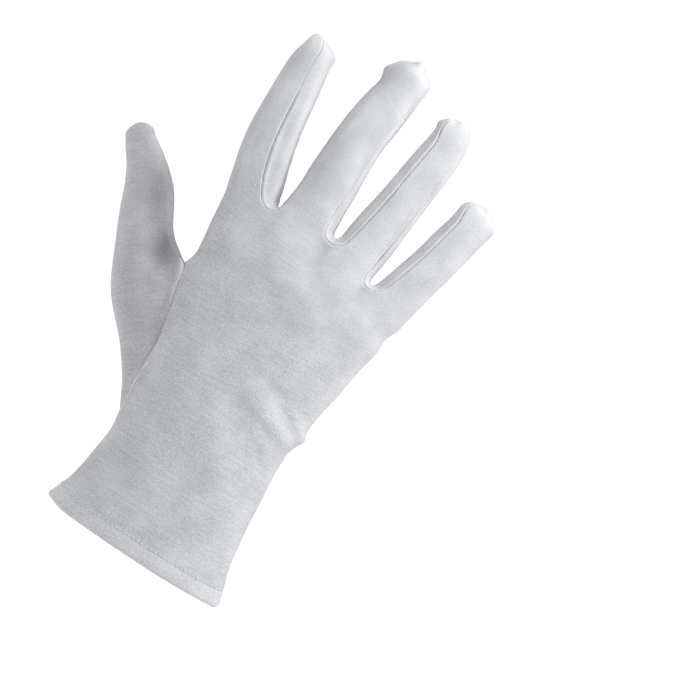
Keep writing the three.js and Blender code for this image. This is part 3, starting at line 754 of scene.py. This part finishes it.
def knit_finish(name, white, shade_colour, painted_shade=None):
    finish = Finish(name)
    flat = finish.node("ShaderNodeUVMap", {"uv_map": "UVMap"})
    parts = finish.node("ShaderNodeSeparateXYZ", {}, flat)
    along = parts.output(1)
    wander = finish.node("ShaderNodeTexNoise", {}, flat, None, WANDER_SCALE, NOISE_DETAIL)
    across = parts + (wander - 0.5) * COLUMN_WANDER
    from_middle = ((across / COLUMN_WIDTH).maths("FRACT") - 0.5).maths("ABSOLUTE") * 2.0
    columns = (from_middle * math.pi).maths("COSINE") * 0.5 + 0.5
    row = (along + across * ROW_SKEW) / ROW_HEIGHT + from_middle * ROW_BOW
    rows = (row * (2 * math.pi)).maths("SINE") * 0.5 + 0.5
    stitches = columns * COLUMN_RELIEF + rows * ROW_RELIEF
    yarn_across = across * YARN_SCALE_ACROSS
    yarn_place = finish.node("ShaderNodeCombineXYZ", {}, yarn_across, along * YARN_SCALE_ALONG)
    yarns = finish.node("ShaderNodeTexNoise", {}, yarn_place, None, 1.0, NOISE_DETAIL)
    fibres = finish.node("ShaderNodeTexNoise", {}, flat, None, FIBRE_SCALE, NOISE_DETAIL)
    clouds = finish.node("ShaderNodeTexNoise", {}, flat, None, CLOUD_SCALE, CLOUD_DETAIL)

    position = finish.node("ShaderNodeTexCoord", {}, output=3)
    side = finish.node("ShaderNodeSeparateXYZ", {}, position)
    above_edge = side.output(2) + side * HEM_SLOPE
    hem_cloth = above_edge.maths("LESS_THAN", HEM_DOUBLED_HEIGHT)
    seam_doubled_and_lit = finish.node("ShaderNodeAttribute", {"attribute_name": "doubled_and_lit"}, output=2)
    smooth = (above_edge - SMOOTH_HEIGHT) * SMOOTH_BY_HEIGHT + (side - SMOOTH_SIDE) * SMOOTH_BY_SIDE
    clear = 1.0 - smooth.clamped() * SMOOTH_SHARE

    # The furrows between the stitches get painted shade; yarns and fibres vary the tone at random.
    detail = stitches * PAINTED_STITCH_SHADE - STITCH_LEVEL
    detail = detail + (yarns - 0.5) * YARN_SHADE + (fibres - 0.5) * FIBRE_SHADE
    shade = CLOTH_SHADE - detail * clear - (clouds - 0.5) * CLOUD_SHADE
    # The hem is whiter for its two layers; the thumb's seam is painted lighter, as a highlight on its welt.
    shade = shade - hem_cloth * HEM_WHITER - seam_doubled_and_lit * SEAM_DOUBLED_AND_LIT
    colour = finish.mixed(shade.clamped(), white, shade_colour)
    # Painted shade, where one is given: the colour is darkened by its share, less where the thumb's seam is
    # painted lighter.
    if painted_shade:
        kept = 1.0 - painted_shade(finish, position) * (1.0 - seam_doubled_and_lit)
        colour = finish.node("ShaderNodeVectorMath", {"operation": "SCALE"}, colour, None, None, kept)
    finish.join(finish.surface.inputs["Base Color"], colour)
    bump = finish.node("ShaderNodeBump", {}, RELIEF_STRENGTH, RELIEF_HEIGHT)
    relief = (stitches + fibres * LOOSE_RELIEF + yarns * LOOSE_RELIEF) * clear
    finish.join(bump.socket.node.inputs["Height"], relief)
    finish.join(finish.surface.inputs["Normal"], bump)
    finish.surface.inputs["Roughness"].default_value = COTTON_ROUGHNESS
    finish.surface.inputs["Specular IOR Level"].default_value = COTTON_GLOSS
    finish.surface.inputs["Sheen Weight"].default_value = BLOOM
    finish.surface.inputs["Sheen Roughness"].default_value = BLOOM_ROUGHNESS
    return finish.material


def sew_in(nodes, name, finish):
    piece = pieces[frozenset(nodes)]
    piece.name = name
    piece.data.name = name
    piece.data.materials.clear()
    piece.data.materials.append(finish)
    for face in piece.data.polygons:
        face.material_index = 0
        face.use_smooth = True
    sheet_faces = 2 * len(piece.data.polygons)
    pick(piece)
    wall = piece.modifiers.new("cloth", "SOLIDIFY")
    wall.thickness = CLOTH_THICKNESS
    wall.offset = -1.0
    bpy.ops.object.modifier_apply(modifier=wall.name)
    for face in piece.data.polygons[sheet_faces:]:
        face.use_smooth = False
    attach(piece, "root")
    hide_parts(*nodes)
    return piece


cotton_knit = knit_finish("cotton knit", COTTON_WHITE, COTTON_SHADE)
main_cloth = sew_in(["back", "palm"], "main_cloth", cotton_knit)

# The thumb, one piece of the same jersey, folded on its outer side and set into a hole in the main cloth.
# It is stretched more than the rest and a little warmer in colour, and painted shade darkens it away from
# its seam, for the shadow that the hand casts on it.
STRETCHED_WHITE = (0.855, 0.840, 0.870, 1.0)
STRETCHED_SHADE = (0.495, 0.480, 0.515, 1.0)
THUMB_ACROSS = Vector((THUMB_AXIS.z, 0.0, -THUMB_AXIS.x))
# Painted shade on the thumb: how much darker its colour is made, a little all over and most where the hand
# shades it.
THUMB_PAINTED_SHADE = 0.42
PAINTED_SHADE_ALL_OVER = 0.12
# The painted shade is darkest along its inner edge, from the web almost to the tip, and in three soft
# spots.
SHADED_EDGE_PLACE = 0.001
SHADED_EDGE_WIDTH = 0.010
SHADED_EDGE_START = 0.028
SHADED_EDGE_END = 0.082
SHADED_EDGE_FADE = 0.014
SHADED_EDGE_STRENGTH = 0.85
SHADED_SPOTS = [
    {"at": (-0.0520, -0.002, 0.117), "reach": 0.012, "strength": 0.7},
    {"at": (-0.0475, -0.002, 0.107), "reach": 0.013, "strength": 0.5},
    {"at": (-0.0430, -0.002, 0.090), "reach": 0.015, "strength": 0.5},
]


# The share of painted shade on the thumb, from its inner edge and the soft spots.
def painted_thumb_shade(finish, position):
    away = finish.node("ShaderNodeVectorMath", {"operation": "SUBTRACT"}, position, THUMB_ROOT)
    across = finish.node("ShaderNodeVectorMath", {"operation": "DOT_PRODUCT"}, away, THUMB_ACROSS, output=1)
    along = finish.node("ShaderNodeVectorMath", {"operation": "DOT_PRODUCT"}, away, THUMB_AXIS, output=1)
    edge = ((across - SHADED_EDGE_PLACE) / SHADED_EDGE_WIDTH).clamped()
    from_web = ((along - SHADED_EDGE_START) / SHADED_EDGE_FADE).clamped()
    from_tip = ((SHADED_EDGE_END - along) / SHADED_EDGE_FADE).clamped()
    darkened = edge * from_web * from_tip * SHADED_EDGE_STRENGTH
    for spot in SHADED_SPOTS:
        distance = finish.node(
            "ShaderNodeVectorMath", {"operation": "DISTANCE"}, position, spot["at"], output=1
        )
        share = (1.0 - distance / spot["reach"]).maths("MAXIMUM", 0.0)
        darkened = darkened + share * share * (3.0 - share * 2.0) * spot["strength"]
    return THUMB_PAINTED_SHADE * (PAINTED_SHADE_ALL_OVER + darkened)


thumb_knit_with_shade = knit_finish("stretched cotton knit", STRETCHED_WHITE, STRETCHED_SHADE, painted_thumb_shade)
sew_in(["thumb_back", "thumb_palm"], "thumb", thumb_knit_with_shade)

# The three strips between the fingers, of the same jersey. Each is one narrow piece, sewn in from one
# fingertip down to the gap and up to the next fingertip.
STRIP_AREAS = {
    "fourchette_index_middle": 0.0025,
    "fourchette_middle_ring": 0.0024,
    "fourchette_ring_little": 0.0022,
}

for strip, area in STRIP_AREAS.items():
    sew_in([strip], strip.replace("fourchette", "strip"), cotton_knit)

sew_in(["cuff_hem"], "hem", cotton_knit)

# The hem's thread, of white cotton: chain stitches through both layers, near the hem's upper edge. One
# stitch is modelled and copied along a line that is found on the cuff from outside.
STITCH_COUNT = 98
STITCH_HEIGHT = 0.0064
STITCH_LONG = 0.0019
STITCH_WIDE = 0.00055
STITCH_DEEP = 0.00044
STITCH_LIFT = 0.00008
HEM_EDGE = 0.0006
CUFF_HALF_WIDTH = 0.041
CUFF_MIDDLE_DEPTH = 0.001
# The cuff is about this many times as wide as it is deep.
CUFF_FLATNESS = 2.0
FROM_OUTSIDE = 0.1
LOOKS_PER_STITCH = 4
LOOK_AHEAD = 0.001
LINE_END = 0.9999
THREAD_WHITE = (0.84, 0.845, 0.86, 1.0)
THREAD_SHADE = (0.72, 0.73, 0.75, 1.0)
TWIST_SCALE = 2500.0
TWIST_DETAIL = 1.0
THREAD_ROUGHNESS = 0.75


def cuff_spots():
    spots = []
    looks = STITCH_COUNT * LOOKS_PER_STITCH
    for k in range(looks):
        angle = 2 * math.pi * k / looks
        out = Vector((math.cos(angle) * CUFF_FLATNESS, math.sin(angle), 0.0)).normalized()
        height = HEM_EDGE - HEM_SLOPE * CUFF_HALF_WIDTH * math.cos(angle) + STITCH_HEIGHT
        start = Vector((0.0, CUFF_MIDDLE_DEPTH, height)) + out * FROM_OUTSIDE
        hit, place, normal, _ = main_cloth.ray_cast(start, -out)
        if hit:
            spots.append((place, normal))
    return spots


def spot_at(length):
    i = max(n for n in range(len(spots)) if lengths[n] <= length)
    share = (length - lengths[i]) / (lengths[i + 1] - lengths[i])
    place, normal = spots[i]
    next_place, next_normal = spots[(i + 1) % len(spots)]
    return place.lerp(next_place, share), normal.lerp(next_normal, share).normalized()


bpy.ops.object.select_all(action="DESELECT")
bpy.ops.mesh.primitive_uv_sphere_add(segments=8, ring_count=6, radius=0.5)
stitch = bpy.context.active_object
bpy.ops.object.mode_set(mode="EDIT")
bpy.ops.transform.resize(value=(STITCH_LONG, STITCH_WIDE, STITCH_DEEP))
bpy.ops.object.mode_set(mode="OBJECT")
spots = cuff_spots()
lengths = [0.0]
for (place, _), (next_place, _) in zip(spots, spots[1:] + spots[:1]):
    lengths.append(lengths[-1] + (next_place - place).length)
stitches = []
for k in range(STITCH_COUNT):
    middle = lengths[-1] * (k + 0.5) / STITCH_COUNT
    place, normal = spot_at(middle)
    before, _ = spot_at(max(middle - LOOK_AHEAD, 0.0))
    after, _ = spot_at(min(middle + LOOK_AHEAD, lengths[-1] * LINE_END))
    along = (after - before).normalized()
    up = normal.cross(along).normalized()
    out = along.cross(up).normalized()
    copy = bpy.data.objects.new(f"stitch_{k}", stitch.data.copy())
    bpy.context.scene.collection.objects.link(copy)
    turn = Matrix((along, up, out)).transposed().to_4x4()
    copy.data.transform(Matrix.Translation(place + out * STITCH_LIFT) @ turn)
    stitches.append(copy)
bpy.data.objects.remove(stitch)
pick(*stitches)
bpy.ops.object.join()
hem_thread = bpy.context.active_object
hem_thread.name = "hem_thread"
hem_thread.data.name = "hem_thread"
for face in hem_thread.data.polygons:
    face.use_smooth = True

thread = Finish("cotton thread")
place_on_thread = thread.node("ShaderNodeTexCoord", {}, output=3)
twist = thread.node("ShaderNodeTexNoise", {}, place_on_thread, None, TWIST_SCALE, TWIST_DETAIL)
thread.join(thread.surface.inputs["Base Color"], thread.mixed(twist, THREAD_WHITE, THREAD_SHADE))
thread.surface.inputs["Roughness"].default_value = THREAD_ROUGHNESS
hem_thread.data.materials.append(thread.material)
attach(hem_thread, "root")

# A plain pale floor below the cuff.
FLOOR_RADIUS = 0.8
FLOOR_HEIGHT = -0.30
FLOOR_COLOUR = (0.86, 0.86, 0.87, 1.0)
FLOOR_ROUGHNESS = 0.8

bpy.ops.object.select_all(action="DESELECT")
bpy.ops.mesh.primitive_circle_add(
    vertices=96, radius=FLOOR_RADIUS, fill_type="NGON", location=(0.0, 0.0, FLOOR_HEIGHT)
)
floor = bpy.context.active_object
floor.name = "floor"
floor_finish = Finish("pale floor")
floor_finish.surface.inputs["Base Color"].default_value = FLOOR_COLOUR
floor_finish.surface.inputs["Roughness"].default_value = FLOOR_ROUGHNESS
floor.data.materials.append(floor_finish.material)

# Soft studio light. A pale room, a tall soft box at the upper right and a small one low at the right,
# a large one far off at the lower left, and one straight behind for the palm.
ROOM_COLOUR = (0.96, 0.98, 1.0, 1.0)
ROOM_STRENGTH = 0.46
BACKDROP_COLOUR = (1.0, 1.0, 1.0, 1.0)
BACKDROP_STRENGTH = 1.05
UP_THE_LAMP = Vector((-0.5, 0.0, 0.866))
GLOVE_MIDDLE = (0.0, 0.0, 0.12)


def soft_box(name, place, wide, tall, power):
    data = bpy.data.lights.new(name, "AREA")
    data.shape = "RECTANGLE"
    data.size = wide
    data.size_y = tall
    data.energy = power
    light = bpy.data.objects.new(name, data)
    bpy.context.scene.collection.objects.link(light)
    ahead = (Vector(place) - Vector(GLOVE_MIDDLE)).normalized()
    across = UP_THE_LAMP.cross(ahead).normalized()
    turned = Matrix((across, ahead.cross(across), ahead)).transposed().to_4x4()
    light.matrix_world = Matrix.Translation(place) @ turned


soft_box("side light", (0.26, -0.16, 0.45), wide=0.25, tall=0.75, power=2.1)
soft_box("low light", (0.30, -0.19, -0.16), wide=0.25, tall=0.25, power=0.16)
soft_box("far light", (-1.39, 0.0, -0.68), wide=1.2, tall=1.2, power=15.0)
soft_box("palm light", (0.0, 1.6, 0.12), wide=0.5, tall=0.5, power=9.0)

world = bpy.data.worlds.new("studio")
world.use_nodes = True
bpy.context.scene.world = world
air = world.node_tree
room = air.nodes["Background"]
room.inputs["Color"].default_value = ROOM_COLOUR
room.inputs["Strength"].default_value = ROOM_STRENGTH
backdrop = air.nodes.new("ShaderNodeBackground")
backdrop.inputs["Color"].default_value = BACKDROP_COLOUR
backdrop.inputs["Strength"].default_value = BACKDROP_STRENGTH
ray = air.nodes.new("ShaderNodeLightPath")
either = air.nodes.new("ShaderNodeMixShader")
air.links.new(ray.outputs["Is Camera Ray"], either.inputs[0])
air.links.new(room.outputs[0], either.inputs[1])
air.links.new(backdrop.outputs[0], either.inputs[2])
air.links.new(either.outputs[0], air.nodes["World Output"].inputs[0])

# The camera, as the photograph was taken: square on to the glove's back, and leaning to one side.
CAMERA_LEAN = math.radians(30)
CAMERA_PLACE = (0.0386, -0.840, 0.1206)
LENS_LENGTH = 100.5
SENSOR_WIDTH = 36.0

lens = bpy.data.cameras.new("camera")
lens.lens = LENS_LENGTH
lens.sensor_width = SENSOR_WIDTH
camera = bpy.data.objects.new("camera", lens)
bpy.context.scene.collection.objects.link(camera)
right = Vector((math.cos(CAMERA_LEAN), 0.0, math.sin(CAMERA_LEAN)))
up = Vector((-math.sin(CAMERA_LEAN), 0.0, math.cos(CAMERA_LEAN)))
turned = Matrix((right, up, Vector((0.0, -1.0, 0.0)))).transposed().to_4x4()
camera.matrix_world = Matrix.Translation(CAMERA_PLACE) @ turned
bpy.context.scene.camera = camera
bpy.context.scene.view_settings.view_transform = "Standard"
